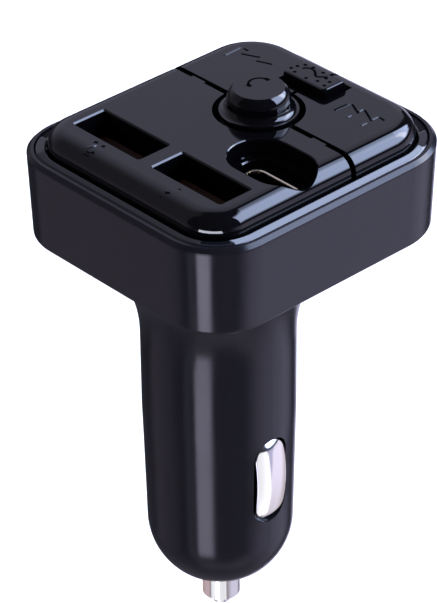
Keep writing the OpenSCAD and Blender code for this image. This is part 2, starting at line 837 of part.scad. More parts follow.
mic_r = 2;
mic_h = 1.4;
mic_gap = 0.6;
mic_x = (switch_w / 2 + mic_gap + post_x - switch_w / 2) / 2;

module microphone() {
    color("#b9bcc2") translate([mic_x, light_mid_y, key_board_z]) cylinder(r = mic_r, h = mic_h);
}

module port_board() {
    color("#1f5a36") translate([0, 0, floor_z]) linear_extrude(port_board_t) difference() {
        head_outline(head_wall + board_margin);
        translate([0, power_board_w / 2 - power_cut]) square([power_board_t, power_cut / 2], center = true);
    }
}

// Folded sheet shell of a USB-A socket, open at the top
module usb_a_shell(side) {
    color("#b9bcc2") translate([side * usb_a_x, usb_a_y, port_board_z])
        linear_extrude(port_top_z - port_board_z) difference() {
            square([usb_a_w + 2 * shell_t, usb_a_h + 2 * shell_t], center = true);
            square([usb_a_w, usb_a_h], center = true);
        }
}

// Tongue with its base, which fills the shell's foot
module usb_a_tongue(side) {
    color("#a8521c") {
        translate([side * usb_a_x, usb_a_y, port_board_z]) linear_extrude(tongue_base_h)
            square([usb_a_w - 2 * run_clear, usb_a_h - 2 * run_clear], center = true);
        span([side * usb_a_x - tongue_w / 2, usb_a_y + usb_a_h / 2 - tongue_side - tongue_t, port_board_z],
            [side * usb_a_x + tongue_w / 2, usb_a_y + usb_a_h / 2 - tongue_side, port_top_z - tongue_depth]);
    }
}

module usb_a_pins(side) {
    face_y = usb_a_y + usb_a_h / 2 - tongue_side - tongue_t;
    color("#d4af61") for (i = [-1.5:1:1.5])
        span([side * usb_a_x + i * pin_space - pin_w / 2, face_y - pin_t, port_board_z + tongue_base_h],
            [side * usb_a_x + i * pin_space + pin_w / 2, face_y, port_top_z - tongue_depth - pin_w]);
}

module usb_a_shell_left() {
    usb_a_shell(-1);
}

module usb_a_shell_right() {
    usb_a_shell(1);
}

module usb_a_tongue_left() {
    usb_a_tongue(-1);
}

module usb_a_tongue_right() {
    usb_a_tongue(1);
}

module usb_a_pins_left() {
    usb_a_pins(-1);
}

module usb_a_pins_right() {
    usb_a_pins(1);
}

module usb_c_shell() {
    color("#c3b48c") translate([usb_c_x, usb_c_y, port_board_z]) linear_extrude(usb_c_top_z - port_board_z)
        difference() {
            oblong(usb_c_w, usb_c_h);
            oblong(usb_c_w - 2 * shell_t, usb_c_h - 2 * shell_t);
        }
}

module usb_c_tongue() {
    color("#2b2b30") {
        translate([usb_c_x, usb_c_y, port_board_z]) linear_extrude(tongue_base_h)
            oblong(usb_c_w - 2 * shell_t - 2 * run_clear, usb_c_h - 2 * shell_t - 2 * run_clear);
        translate([usb_c_x, usb_c_y, port_board_z]) linear_extrude(usb_c_top_z - usb_c_tongue_drop - port_board_z)
            square([usb_c_tongue_w, usb_c_tongue_t], center = true);
    }
}

module_l = 12;
module_w = 9;
module_t = 1;
shield_margin = 1;
shield_h = 1.8;
module_x = -7;
module_far = 12;

module radio_module() {
    color("#24324f") translate([module_x - module_l / 2, far_y - module_far - module_w / 2, port_board_z])
        cube([module_l, module_w, module_t]);
}

module radio_shield() {
    color("#c6c8cc") translate([module_x - module_l / 2 + shield_margin,
        far_y - module_far - module_w / 2 + shield_margin, port_board_z + module_t])
        cube([module_l - 2 * shield_margin, module_w - 2 * shield_margin, shield_h]);
}

link_pins = 6;
link_space = 1.27;
link_pin_w = 0.5;
link_body_h = 2;
link_body_w = 2.2;
link_x_share = 0.225;
link_x = head_w * link_x_share;
link_far = 6.4;

// Row of pins that joins the key board to the port board
module board_link() {
    length = link_pins * link_space;
    color("#17171a") {
        translate([link_x - length / 2, far_y - link_far - link_body_w / 2, port_board_z])
            cube([length, link_body_w, link_body_h]);
        for (i = [0:link_pins - 1])
            translate([link_x - length / 2 + (i + 0.5) * link_space - link_pin_w / 2,
                far_y - link_far - link_pin_w / 2, port_board_z + link_body_h - lap])
                cube([link_pin_w, link_pin_w, key_board_z - key_board_t - port_board_z - link_body_h + lap]);
    }
}

module power_board() {
    color("#1f5a36") translate([-power_board_t / 2, -power_board_w / 2, power_board_low_z])
        cube([power_board_t, power_board_w, floor_z - power_board_low_z]);
}

coil_h = 4.4;
coil_z = 8;
coil_core_share = 0.6;
coil_flange_h = 0.8;

// Coil on a bobbin with two flanges
module coil() {
    color("#7a4a24") translate([power_board_t / 2, 0, coil_z]) rotate([0, 90, 0]) {
        cylinder(r = coil_r, h = coil_flange_h);
        translate([0, 0, coil_flange_h - lap])
            cylinder(r = coil_r * coil_core_share, h = coil_h - 2 * coil_flange_h + 2 * lap);
        translate([0, 0, coil_h - coil_flange_h]) cylinder(r = coil_r, h = coil_flange_h);
    }
}

input_cap_z = -13;
output_cap_z = 4;
cap_y = 2.6;

module input_capacitor() {
    color("#2c3e63") translate([-power_board_t / 2 - cap_r, cap_y, input_cap_z]) cylinder(r = cap_r, h = cap_l);
}

module output_capacitor() {
    color("#2c3e63") translate([-power_board_t / 2 - cap_r, -cap_y, output_cap_z]) cylinder(r = cap_r, h = cap_l);
}

chip_w = 5;
chip_l = 6;
chip_t = 1.6;
chip_z = -6;

module converter_chip() {
    color("#17171a") translate([power_board_t / 2, -chip_w / 2, chip_z]) cube([chip_t, chip_w, chip_l]);
}

// Plate at the foot of the power board that the spring presses on
module spring_seat() {
    color("#cdb071") translate([0, 0, seat_low_z]) cylinder(r = seat_r, h = seat_t);
}

// Coil spring behind the centre pin, swept along a helix
module tip_spring() {
    radius = spring_wire / 2;
    height = seat_low_z - spring_low_z - spring_wire;
    count = spring_turns * spring_rings;
    points = [for (i = [0:count], j = [0:spring_sides - 1])
        let (a = 360 * i / spring_rings, b = 360 * j / spring_sides)
        [(spring_r + radius * cos(b)) * cos(a), (spring_r + radius * cos(b)) * sin(a),
            spring_low_z + radius + height * i / count + radius * sin(b)]];
    sides = [for (i = [0:count - 1], j = [0:spring_sides - 1])
        let (a = i * spring_sides + j, b = i * spring_sides + (j + 1) % spring_sides)
        [[a, a + spring_sides, b], [b, a + spring_sides, b + spring_sides]]];
    caps = [[for (j = [0:spring_sides - 1]) j],
        [for (j = [0:spring_sides - 1]) (count + 1) * spring_sides - 1 - j]];
    color("#9a9ca3") polyhedron(points, concat([for (pair = sides) each pair], caps));
}

module tip_contact() {
    color("#c9ccd2") rotate_extrude() {
        translate([0, shoulder_z]) square([tip_flange_r, tip_flange_t]);
        translate([0, tip_low_z]) square([tip_r, shoulder_z - tip_low_z + lap]);
        translate([0, tip_low_z - nipple_l]) square([nipple_r, nipple_l + lap]);
    }
}

// Half section of the crowned pad, about the axis that its crown turns round
module pad_profile(outer_r) {
    intersection() {
        translate([outer_r - leaf_bow_r, 0]) circle(leaf_bow_r - (leaf_crown_r - outer_r), $fn = 2 * $fn);
        translate([0, -leaf_l]) square([outer_r, 2 * leaf_l]);
    }
}

// Spring contact that bows out through its slot, drawn for the +X side
module side_contact() {
    color("#d3d5da") {
        intersection() {
            translate([leaf_axis_x, 0, slot_z]) difference() {
                rotate_extrude() pad_profile(leaf_crown_r);
                rotate_extrude() pad_profile(leaf_crown_r - leaf_t);
            }
            translate([arm_x, 0, slot_z]) rotate([0, 90, 0])
                linear_extrude(leaf_x - arm_x + over) oblong(leaf_l, leaf_w);
        }
        translate([0, arm_w / 2, 0]) rotate([90, 0, 0]) linear_extrude(arm_w) {
            polygon([[arm_x, arm_top_z], [arm_x + leaf_t, arm_top_z], [arm_x + leaf_t, bend_up_z],
                [root_x + leaf_t / 2, root_up_z], [root_x + leaf_t / 2, root_up_z - leaf_t],
                [root_x, root_up_z - leaf_t], [arm_x, bend_up_z - leaf_t]]);
            polygon([[arm_x, tail_low_z], [arm_x + leaf_t, tail_low_z], [arm_x + leaf_t, bend_down_z],
                [root_x + leaf_t / 2, root_down_z], [root_x + leaf_t / 2, root_down_z + leaf_t],
                [root_x, root_down_z + leaf_t], [arm_x, bend_down_z + leaf_t]]);
        }
    }
}

module side_contact_right() {
    side_contact();
}

module side_contact_left() {
    mirror([1, 0, 0]) side_contact();
}

housing();
light_ring();
led_strip();
ring_leds();
face_plate();
key_frame();
prev_key();
next_key();
light_key();
knob();
key_board();
prev_switch();
next_switch();
light_switch();
knob_switch();
prev_plunger();
next_plunger();
light_plunger();
knob_plunger();
microphone();
port_board();
usb_a_shell_left();
usb_a_shell_right();
usb_a_tongue_left();
usb_a_tongue_right();
usb_a_pins_left();
usb_a_pins_right();
usb_c_shell();
usb_c_tongue();
radio_module();
radio_shield();
board_link();
power_board();
coil();
input_capacitor();
output_capacitor();
converter_chip();
spring_seat();
tip_spring();
tip_contact();
side_contact_left();
side_contact_right();
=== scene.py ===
# Car FM transmitter on a white studio sweep. Metres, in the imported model's own frame.
import math

import bmesh
import bpy
from mathutils import Euler, Matrix, Vector


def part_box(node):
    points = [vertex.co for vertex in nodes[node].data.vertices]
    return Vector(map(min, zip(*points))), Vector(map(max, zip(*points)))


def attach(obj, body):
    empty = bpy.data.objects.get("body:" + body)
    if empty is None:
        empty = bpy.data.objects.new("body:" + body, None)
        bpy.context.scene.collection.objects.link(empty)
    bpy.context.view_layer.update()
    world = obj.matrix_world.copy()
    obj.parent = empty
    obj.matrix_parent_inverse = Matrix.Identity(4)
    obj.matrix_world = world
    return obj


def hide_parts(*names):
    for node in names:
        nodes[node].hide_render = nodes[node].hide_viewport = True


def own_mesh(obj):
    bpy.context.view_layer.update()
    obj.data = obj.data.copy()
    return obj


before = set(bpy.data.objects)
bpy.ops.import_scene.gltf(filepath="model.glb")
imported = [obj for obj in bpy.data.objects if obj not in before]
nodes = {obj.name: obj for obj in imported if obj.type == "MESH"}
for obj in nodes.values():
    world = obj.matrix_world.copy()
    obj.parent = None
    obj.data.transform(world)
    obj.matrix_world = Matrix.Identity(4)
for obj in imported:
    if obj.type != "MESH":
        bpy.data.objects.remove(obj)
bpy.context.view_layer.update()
print("frame loaded:", len(nodes), "nodes")

mm = 0.001


# sRGB hex to the linear colour that the shaders work in
def linear(hexCode):
    parts = [int(hexCode[i:i + 2], 16) / 255 for i in (1, 3, 5)]
    return tuple(c / 12.92 if c <= 0.04045 else ((c + 0.055) / 1.055) ** 2.4 for c in parts) + (1.0,)


# One node, with its settings and what feeds each input
def addNode(tree, kind, settings=None, inputs=None):
    node = tree.nodes.new(kind)
    for key, value in (settings or {}).items():
        setattr(node, key, value)
    for key, value in (inputs or {}).items():
        if isinstance(value, bpy.types.NodeSocket):
            tree.links.new(value, node.inputs[key])
        else:
            node.inputs[key].default_value = value
    return node


# Noise whose spots are about so many millimetres across
def noise(tree, place, sizeMm, detail):
    return addNode(tree, "ShaderNodeTexNoise", None,
                   {"Vector": place, "Scale": 1 / (sizeMm * mm), "Detail": detail}).outputs["Fac"]


# A value carried from one span over to another, and held at its ends
def remap(tree, value, before, after):
    return addNode(tree, "ShaderNodeMapRange", None,
                   {"Value": value, "From Min": before[0], "From Max": before[1],
                    "To Min": after[0], "To Max": after[1]}).outputs[0]


def product(tree, first, second):
    return addNode(tree, "ShaderNodeMath", {"operation": "MULTIPLY"}, {0: first, 1: second}).outputs[0]


def blend(tree, share, first, second):
    return addNode(tree, "ShaderNodeMixRGB", None,
                   {"Fac": share, "Color1": first, "Color2": second}).outputs[0]


def relief(tree, height, depthMm, strength):
    return addNode(tree, "ShaderNodeBump", None,
                   {"Height": height, "Distance": depthMm * mm, "Strength": strength}).outputs[0]


def axes(tree, place):
    return addNode(tree, "ShaderNodeSeparateXYZ", None, {0: place}).outputs


# Pairs of edges that no length in metres reaches here, for a span that is open on one side
openBelow, openAbove = (-2, -1), (1, 2)


# How far values lie inside their spans: 0 outside the outer two edges, 1 between the inner two
def cover(tree, spans):
    whole = None
    for value, edges in spans:
        for outer, inner in (edges[:2], edges[:1:-1]):
            reach = addNode(tree, "ShaderNodeMapRange", {"interpolation_type": "SMOOTHSTEP"},
                            {"Value": value, "From Min": outer, "From Max": inner}).outputs[0]
            whole = reach if whole is None else product(tree, whole, reach)
    return whole


# 1 for what the camera sees itself, also through something clear
def seenStraight(tree):
    path = addNode(tree, "ShaderNodeLightPath").outputs
    return addNode(tree, "ShaderNodeMath", {"operation": "MAXIMUM"},
                   {0: path["Is Camera Ray"], 1: path["Is Transmission Ray"]}).outputs[0]


def newMaterial(name):
    material = bpy.data.materials.new(name)
    material.use_nodes = True
    tree = material.node_tree
    tree.nodes.clear()
    out = addNode(tree, "ShaderNodeOutputMaterial")
    place = addNode(tree, "ShaderNodeTexCoord").outputs["Object"]
    return material, tree, out, place


def finishMaterial(tree, out, inputs):
    shader = addNode(tree, "ShaderNodeBsdfPrincipled", None, inputs)
    tree.links.new(shader.outputs[0], out.inputs["Surface"])


def dress(material, *names):
    for name in names:
        mesh = nodes[name].data
        mesh.materials.clear()
        mesh.materials.append(material)


def addObject(name, data):
    thing = bpy.data.objects.new(name, data)
    bpy.context.scene.collection.objects.link(thing)
    return thing


# Camera: the photograph's own view, from the right front and above
view = {"place": (0.2487, -0.22828, 0.2267), "azimuth": 47.44, "elevation": 33.13, "roll": -0.64,
        "lens": 182.96, "sensor": 36, "near": 0.01}
camera = addObject("photoCamera", bpy.data.cameras.new("photoCamera"))
camera.data.lens = view["lens"]
camera.data.sensor_width = view["sensor"]
camera.data.clip_start = view["near"]
turn = Euler((math.radians(90 - view["elevation"]), 0, math.radians(view["azimuth"]))).to_matrix()
turn = turn @ Matrix.Rotation(math.radians(view["roll"]), 3, "Z")
camera.matrix_world = Matrix.Translation(view["place"]) @ turn.to_4x4()
bpy.context.scene.camera = camera
print("camera placed")


# ABS in a spark-eroded mould: black, satin, with a very fine grain that softens highlights. Its sheen is
# turned down by height on the plug and on the rim's edge: painted shade that dims their reflection
def satinAbs():
    look = {"colour": "#141318", "roughness": 0.17, "ior": 1.54, "cloudMm": 9, "cloudSpan": (0.3, 0.7),
            "vary": 0.03, "grainMm": 0.3, "grainDepth": 0.004, "grainStrength": 0.35, "wallSheen": 0.5,
            "stemPaintedSheen": 0.4, "flareMm": (4, 11), "rimPaintedSheen": 0.26, "rimDown": 0.75, "rimSoft": 0.1}
    material, tree, out, place = newMaterial("satinAbs")
    cloud = noise(tree, place, look["cloudMm"], 3.0)
    rough = remap(tree, cloud, look["cloudSpan"],
                  (look["roughness"] - look["vary"], look["roughness"] + look["vary"]))
    grain = relief(tree, noise(tree, place, look["grainMm"], 2.0), look["grainDepth"], look["grainStrength"])
    level = axes(tree, place)["Z"]
    # painted shade: the plug reflects less than the head's walls
    wall = remap(tree, level, [z * mm for z in look["flareMm"]], (look["stemPaintedSheen"], look["wallSheen"]))
    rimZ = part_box("housing")[1].z - look["rimDown"] * mm
    soft = look["rimSoft"] * mm
    # painted shade: the rim's edge reflects less than the walls below it
    sheen = remap(tree, level, (rimZ - soft, rimZ + soft), (wall, look["rimPaintedSheen"]))
    finishMaterial(tree, out, {"Base Color": linear(look["colour"]), "Roughness": rough,
                               "Specular IOR Level": sheen, "IOR": look["ior"], "Normal": grain})
    return material


# ABS from a mirror-polished mould: piano black, with faint waves and a few hairline rubs. Where the
# painted shade zone covers, the reflection is turned off, so that zone stays dead black
def glossAbs(name, paintedShadeZone=None):
    look = {"colour": "#050507", "ior": 1.54, "sheen": 0.5, "roughness": (0.03, 0.08), "rubMm": 2.5,
            "rubSpan": (0.35, 0.75), "waveMm": 14, "waveDepth": 0.05, "waveStrength": 0.1}
    material, tree, out, place = newMaterial(name)
    rough = remap(tree, noise(tree, place, look["rubMm"], 6.0), look["rubSpan"], look["roughness"])
    wave = relief(tree, noise(tree, place, look["waveMm"], 1.0), look["waveDepth"], look["waveStrength"])
    # painted shade: no reflection inside the zone
    sheen = remap(tree, paintedShadeZone(tree, place), (0.0, 1.0), (look["sheen"], 0.0)) if paintedShadeZone else look["sheen"]
    finishMaterial(tree, out, {"Base Color": linear(look["colour"]), "Roughness": rough,
                               "Specular IOR Level": sheen, "IOR": look["ior"], "Normal": wave})
    return material


# Smoked clear polycarbonate: a light guide, dark until its lamps are lit. Its top slopes outward along the
# straight of each side, which is where it catches the window and the sky
def smokedGuide():
    look = {"colour": "#0d0e12", "shade": "#14161b", "cloudMm": 4, "roughness": 0.05, "ior": 1.585,
            "clear": 0.2, "topFrom": 0.1, "topTo": 0.04}
    leans = [{"along": "X", "across": "Y", "lean": 0.78, "width": (-16.7, 16.7),
              "straight": (-14.2, -13.4, 19.0, 20.0)},
             {"along": "Y", "across": "X", "lean": 0.4, "width": (-16.5, 22.9),
              "straight": (-15.4, -14.6, 14.6, 15.4)}]
    material, tree, out, place = newMaterial("smokedGuide")
    cloud = noise(tree, place, look["cloudMm"], 2.0)
    tint = blend(tree, cloud, linear(look["colour"]), linear(look["shade"]))
    split = axes(tree, place)
    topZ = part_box("light_ring")[1].z
    flatTop = (split["Z"], (topZ - look["topFrom"] * mm, topZ - look["topTo"] * mm, *openAbove))
    pushes = {}
    for side in leans:
        where = cover(tree, [(split[side["across"]], [v * mm for v in side["straight"]]), flatTop])
        push = remap(tree, split[side["along"]], [v * mm for v in side["width"]],
                     (-side["lean"], side["lean"]))
        pushes[side["along"]] = product(tree, push, where)
    offset = addNode(tree, "ShaderNodeCombineXYZ", None, pushes).outputs[0]
    normal = addNode(tree, "ShaderNodeNewGeometry").outputs["Normal"]
    tilted = addNode(tree, "ShaderNodeVectorMath", {"operation": "ADD"}, {0: normal, 1: offset}).outputs[0]
    finishMaterial(tree, out, {"Base Color": tint, "Roughness": look["roughness"], "IOR": look["ior"],
                               "Transmission Weight": look["clear"], "Normal": tilted})
    return material


# Bright nickel on spring brass: mirror bright, slightly warm, with fine drawing lines
def brightNickel():
    look = {"colour": "#cfd0d2", "roughness": (0.07, 0.2), "lineMm": 0.25, "stretch": (1.0, 1.0, 0.04),
            "lineDepth": 0.01, "lineStrength": 0.2}
    material, tree, out, place = newMaterial("brightNickel")
    drawn = addNode(tree, "ShaderNodeMapping", None, {"Vector": place, "Scale": look["stretch"]}).outputs[0]
    line = noise(tree, drawn, look["lineMm"], 2.0)
    finishMaterial(tree, out, {"Base Color": linear(look["colour"]), "Metallic": 1.0,
                               "Roughness": remap(tree, line, (0.0, 1.0), look["roughness"]),
                               "Normal": relief(tree, line, look["lineDepth"], look["lineStrength"])})
    return material


# A plain piece: one colour with mottling, for moulded, masked or plated parts
# (and, with paintedDepthShade, painted shade: near black from one height down to another)
def mottled(name, colour, shade, roughness, grainMm, metallic=0.0, specular=0.5, paintedDepthShade=None):
    look = {"dark": "#08080a", "depth": 0.01, "strength": 0.3}
    material, tree, out, place = newMaterial(name)
    spot = noise(tree, place, grainMm, 3.0)
    tint = blend(tree, spot, linear(colour), linear(shade))
    if paintedDepthShade:
        # painted shade: darker down into the shell
        tint = blend(tree, remap(tree, axes(tree, place)["Z"], paintedDepthShade, (0.0, 1.0)), tint, linear(look["dark"]))
    finishMaterial(tree, out, {"Base Color": tint, "Metallic": metallic, "Roughness": roughness,
                               "Specular IOR Level": specular,
                               "Normal": relief(tree, spot, look["depth"], look["strength"])})
    return material


dress(satinAbs(), "housing")
gloss = glossAbs("glossAbs")
dress(gloss, "prev_key", "next_key", "knob")
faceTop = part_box("next_key")[1].z
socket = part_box("usb_c_shell")
recess = {"half": 1.85, "radius": 4.45, "soft": 0.03, "below": 0.1, "fade": 0.04, "ledge": 2.45}
keyEdge = {"from": 0.17, "to": 0.1}


# Inside of the USB-C recess, within an oblong, below the middle of its chamfer: painted shade, no reflection
def portWell(tree, place):
    centre = (socket[0] + socket[1]) / 2
    away = place
    for operation, by in (("SUBTRACT", centre), ("ABSOLUTE", (0, 0, 0)),
                          ("SUBTRACT", (recess["half"] * mm, 0, 0)), ("MAXIMUM", (0, 0, 0)),
                          ("MULTIPLY", (1, 1, 0)), ("LENGTH", (0, 0, 0))):
        away = addNode(tree, "ShaderNodeVectorMath", {"operation": operation}, {0: away, 1: by})
        away = away.outputs["Value" if operation == "LENGTH" else "Vector"]
    rim = faceTop - recess["below"] * mm
    wall = recess["radius"] * mm
    return cover(tree, [(away, (*openBelow, wall, wall + recess["soft"] * mm)),
                        (axes(tree, place)["Z"], (*openBelow, rim - recess["fade"] * mm, rim))])


# Sides of the light key, below the rounding of its top edge: painted shade, no reflection
def keySides(tree, place):
    height = axes(tree, place)["Z"]
    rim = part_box("light_key")[1].z
    return cover(tree, [(height, (*openBelow, rim - keyEdge["from"] * mm, rim - keyEdge["to"] * mm))])


# painted shade inside the USB-C recess
dress(glossAbs("glossAbsPort", portWell), "face_plate")
# painted shade on the light key's sides
dress(glossAbs("glossAbsKey", keySides), "light_key")
dress(smokedGuide(), "light_ring")
nickel = brightNickel()
dress(nickel, "side_contact_left", "side_contact_right", "tip_contact")
# tin-plated steel: dull grey, slightly blotched
dress(mottled("tinPlatedSteel", "#8f9094", "#a3a4a8", 0.3, 1.5, 1.0), "prev_switch", "next_switch",
      "light_switch", "knob_switch", "radio_shield", "tip_spring")
# steel shells coloured near black: painted shade, so that the ports look dark inside
dress(mottled("paintedShadeShell", "#26252b", "#303038", 0.35, 1.5, 1.0), "usb_a_shell_left", "usb_a_shell_right")
# nickel-plated steel with a warm cast, and the USB-C shell of it, with painted shade below its mouth
dress(mottled("warmPlatedSteel", "#b8a67e", "#cbbb95", 0.22, 1.0, 1.0), "spring_seat")
dress(mottled("warmPlatedShell", "#b8a67e", "#cbbb95", 0.22, 1.0, 1.0,
              paintedDepthShade=(socket[1].z - 0.15 * mm, socket[1].z - 0.6 * mm)), "usb_c_shell")
# gold flash on phosphor bronze
dress(mottled("goldFlash", "#d2a955", "#e0bc6e", 0.2, 0.6, 1.0), "usb_a_pins_left", "usb_a_pins_right")
# glass-filled nylon: dark brown or black, and a little chalky
dress(mottled("brownNylon", "#22110b", "#2b150d", 0.45, 0.8), "usb_a_tongue_left", "usb_a_tongue_right")
dress(mottled("blackNylon", "#18181b", "#222226", 0.5, 0.5), "usb_c_tongue", "key_frame", "board_link",
      "converter_chip")
# solder mask over laminate: deep green with the weave faintly through it
dress(mottled("solderMask", "#12472a", "#1b5a37", 0.35, 0.7), "key_board", "port_board", "power_board",
      "radio_module")
# white mask on the strip, and lamps under a yellow phosphor
dress(mottled("whiteFlex", "#d8d4c6", "#cbc6b6", 0.5, 1.2), "led_strip")
dress(mottled("phosphorLamp", "#efe3b4", "#f6edc8", 0.2, 0.4), "ring_leds")
# drawn aluminium: pale and silky
dress(mottled("satinAluminium", "#b7bac0", "#c3c6cb", 0.3, 0.6, 1.0), "microphone")
# dry brown moulding, copper under clear enamel, and blue shrink sleeve
dress(mottled("brownPlunger", "#6b3f1e", "#7a4a26", 0.5, 0.5), "prev_plunger", "next_plunger",
      "light_plunger", "knob_plunger")
dress(mottled("enamelledCopper", "#7c4322", "#96562e", 0.3, 0.4, 1.0), "coil")
dress(mottled("shrinkSleeve", "#1c2c4c", "#223458", 0.25, 2.0), "input_capacitor", "output_capacitor")
print("materials done")


def finishPiece(name, points, faces, body, look):
    mesh = bpy.data.meshes.new(name)
    mesh.from_pydata(points, [], faces)
    mesh.materials.append(look)
    form = bmesh.new()
    form.from_mesh(mesh)
    bmesh.ops.recalc_face_normals(form, faces=form.faces)
    form.to_mesh(mesh)
    form.free()
    piece = addObject(name, mesh)
    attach(piece, body)
    return piece


# Quads from one loop of points to the next
def band(start, count):
    return [(start + k, start + (k + 1) % count, start + (k + 1) % count + count, start + k + count)
            for k in range(count)]


# The faces that close a row of loops at its two ends
def caps(start, end, count):
    return [tuple(start + count - 1 - k for k in range(count)), tuple(end - count + k for k in range(count))]


# Which way a line runs sideways at one of its points, longer on a bend so that the width stays
def sideways(line, i, sharpest=0.5):
    steps = [Vector((line[k + 1][0] - line[k][0], line[k + 1][1] - line[k][1])).normalized()
             for k in (i - 1, i) if 0 <= k < len(line) - 1]
    side = sum((Vector((-s.y, s.x)) for s in steps), Vector((0, 0))).normalized()
    return side / max(side.dot(Vector((-steps[0].y, steps[0].x))), sharpest)


# One stroke of a glyph for each line of points, in millimetres: the section runs across the line, from its
# left side to its right, as (sideways, up)
def stroke(name, lines, section, surface, body, look):
    points, faces = [], []
    count = len(section)
    for line in lines:
        start = len(points)
        for i, (x, y) in enumerate(line):
            side = sideways(line, i)
            for across, up in section:
                px, py = x + side.x * across, y + side.y * across
                points.append((px * mm, py * mm, (surface(px, py) + up) * mm))
        for i in range(len(line) - 1):
            faces += band(start + count * i, count)
        faces += caps(start, len(points), count)
    return finishPiece(name, points, faces, body, look)


# Round marks on the same terms: shallow turned discs
def dots(name, places, radius, height, surface, body, look):
    turned = {"sides": 14, "sunk": -0.02, "shoulder": 0.6, "flat": 0.8}
    count = turned["sides"]
    rings = ((1.0, turned["sunk"]), (1.0, height * turned["shoulder"]), (turned["flat"], height))
    points, faces = [], []
    for x, y in places:
        start = len(points)
        for share, up in rings:
            for k in range(count):
                a = 2 * math.pi * k / count
                px, py = x + radius * share * math.cos(a), y + radius * share * math.sin(a)
                points.append((px * mm, py * mm, (surface(px, py) + up) * mm))
        for ring in range(len(rings) - 1):
            faces += band(start + ring * count, count)
        faces += caps(start, len(points), count)
    return finishPiece(name, points, faces, body, look)


# Sections: a matt strip for a sunk line in shade, and a wedge whose steep side catches the light. Both start
# a little inside the face, so that no gap shows under them
seat = {"sunk": -0.02, "proud": 0.012}
edge = {"steep": 0.17, "back": 0.7, "height": 0.085}
wedge = [(edge["back"], seat["sunk"]), (edge["steep"], edge["height"]), (0.0, seat["sunk"])]


def flatStroke(width):
    half = width / 2
    return [(half, seat["sunk"]), (half, seat["proud"]), (-half, seat["proud"]), (-half, seat["sunk"])]


# Face of the head: flat, then a round fillet down to its near edge
face = {"top": faceTop / mm, "nearEdge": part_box("face_plate")[0].y / mm, "filletR": 2.45}


def faceHeight(x, y):
    into = max(0.0, face["nearEdge"] + face["filletR"] - y)
    return face["top"] - face["filletR"] + math.sqrt(max(0.0, face["filletR"] ** 2 - into ** 2))


def flat(name):
    return lambda x, y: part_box(name)[1].z / mm


# Painted shade of a sunk glyph: matt ABS without gloss, dead black beside the polish round it
sunk = mottled("paintedGrooveShade", "#050507", "#0b0b0e", 0.9, 0.3, specular=0.0)
# The raised side of a glyph: a copy of the gloss with its reflection turned down, a painted dimming of its
# glint
paintedDimGlint = mottled("paintedDimGlintAbs", "#050507", "#0b0b0e", 0.08, 0.3, specular=0.3)

# Track glyphs: a bar and two arrows on each key. Sides that face the window are wedges that catch its
# light; the others are strips of painted shade
track = {
    "line": 0.34,
    "prevBar": [[(-13.35, 14.24), (-13.5, 17.15)]],
    "prevArrows": [[(-12.4, 16.05), (-9.92, 17.14)], [(-9.6, 16.15), (-7.43, 16.98)],
                   [(-13.2, 17.28), (-12.35, 17.28)]],
    "nextBars": [[(7.27, 14.3), (7.4, 16.85)], [(9.53, 16.35), (9.48, 17.05)], [(9.57, 14.2), (9.53, 14.9)],
                 [(12.3, 13.95), (12.26, 14.95)], [(12.2, 16.0), (12.15, 17.05)]],
    "nextArrows": [[(7.35, 17.05), (9.6, 15.92)], [(9.52, 17.13), (12.14, 15.78)],
                   [(12.21, 17.14), (13.2, 17.0)]],
}
for name, section, body, look in (("prevBar", wedge, "prev_key", paintedDimGlint),
                                  ("prevArrows", flatStroke(track["line"]), "prev_key", sunk),
                                  ("nextBars", wedge, "next_key", paintedDimGlint),
                                  ("nextArrows", flatStroke(track["line"]), "next_key", sunk)):
    stroke(name, track[name], section, faceHeight, body, look)

# Lamp glyph: an arc with rays as dots round it, on the light key's raised top, in painted shade
lamp = {
    "dotR": 0.27, "proud": 0.014, "line": 0.36,
    "arc": [(-2.35, 17.55), (-2.1, 18.0), (-1.6, 18.35), (-0.95, 18.3), (-0.35, 17.95), (0.1, 17.5),
            (0.55, 17.35), (1.0, 17.7), (1.6, 18.3)],
    "rays": [(-3.25, 17.55), (-2.75, 18.5), (-1.5, 18.75), (0.35, 18.7), (-3.45, 16.6), (-2.38, 16.2),
             (-0.17, 16.11), (1.72, 17.88), (2.7, 17.56), (1.43, 16.62), (2.9, 16.4)],
}
stroke("lampArc", [lamp["arc"]], flatStroke(lamp["line"]), flat("light_key"), "light_key", sunk)
dots("lampRays", lamp["rays"], lamp["dotR"], lamp["proud"], flat("light_key"), "light_key", sunk)


# Points on an arc, at whole degrees
def arc(x, y, radius, degrees):
    return [(x + radius * math.cos(math.radians(a)), y + radius * math.sin(math.radians(a))) for a in degrees]


# Handset on the knob's disc: two pads and the grip between them, in painted shade
grip = {"centre": (-0.55, 8.15), "radius": 1.45, "line": 0.34, "pad": 0.75, "padHalf": 0.28,
        "degrees": range(95, 266, 19)}
bow = arc(*grip["centre"], grip["radius"], grip["degrees"])
pads = [[(x, y - grip["padHalf"]), (x, y + grip["padHalf"])] for x, y in (bow[0], bow[-1])]
stroke("handsetGrip", [bow], flatStroke(grip["line"]), flat("knob"), "knob", sunk)
stroke("handsetPads", pads, flatStroke(grip["pad"]), flat("knob"), "knob", sunk)

